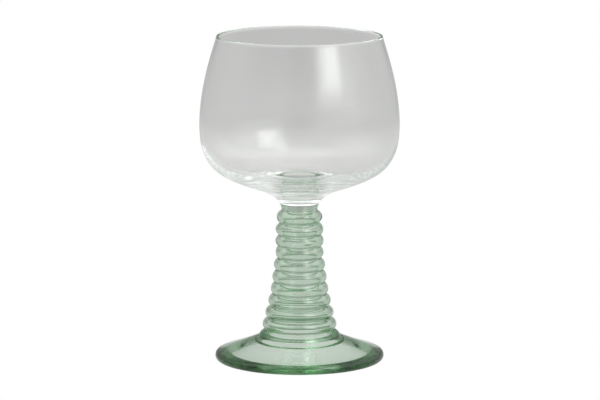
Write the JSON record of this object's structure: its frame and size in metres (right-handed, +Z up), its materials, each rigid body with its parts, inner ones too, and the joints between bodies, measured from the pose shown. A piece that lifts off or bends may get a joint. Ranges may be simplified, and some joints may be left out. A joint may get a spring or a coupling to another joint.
{
  "type": "wine glass",
  "caption": "Stemmed wine glass with a thin clear rounded bowl on a green hollow conical stem built up of eleven rings of glass, and a wide round green foot.",
  "frame": {"origin": "centre of the foot's resting plane, on the glass's axis", "axes": "+Z up along the glass's axis, from the foot to the rim; the glass is round, so X and Y are any two square directions across it"},
  "size_m": [0.0886, 0.0886, 0.145],
  "materials": {
    "clear_glass": "polished",
    "green_glass": "polished"
  },
  "bodies": {
    "root": {"bowl": "clear_glass", "neck": "green_glass", "ring_01": "green_glass", "ring_02": "green_glass", "ring_03": "green_glass", "ring_04": "green_glass", "ring_05": "green_glass", "ring_06": "green_glass", "ring_07": "green_glass", "ring_08": "green_glass", "ring_09": "green_glass", "ring_10": "green_glass", "ring_11": "green_glass", "foot": "green_glass"}
  },
  "joints": []
}
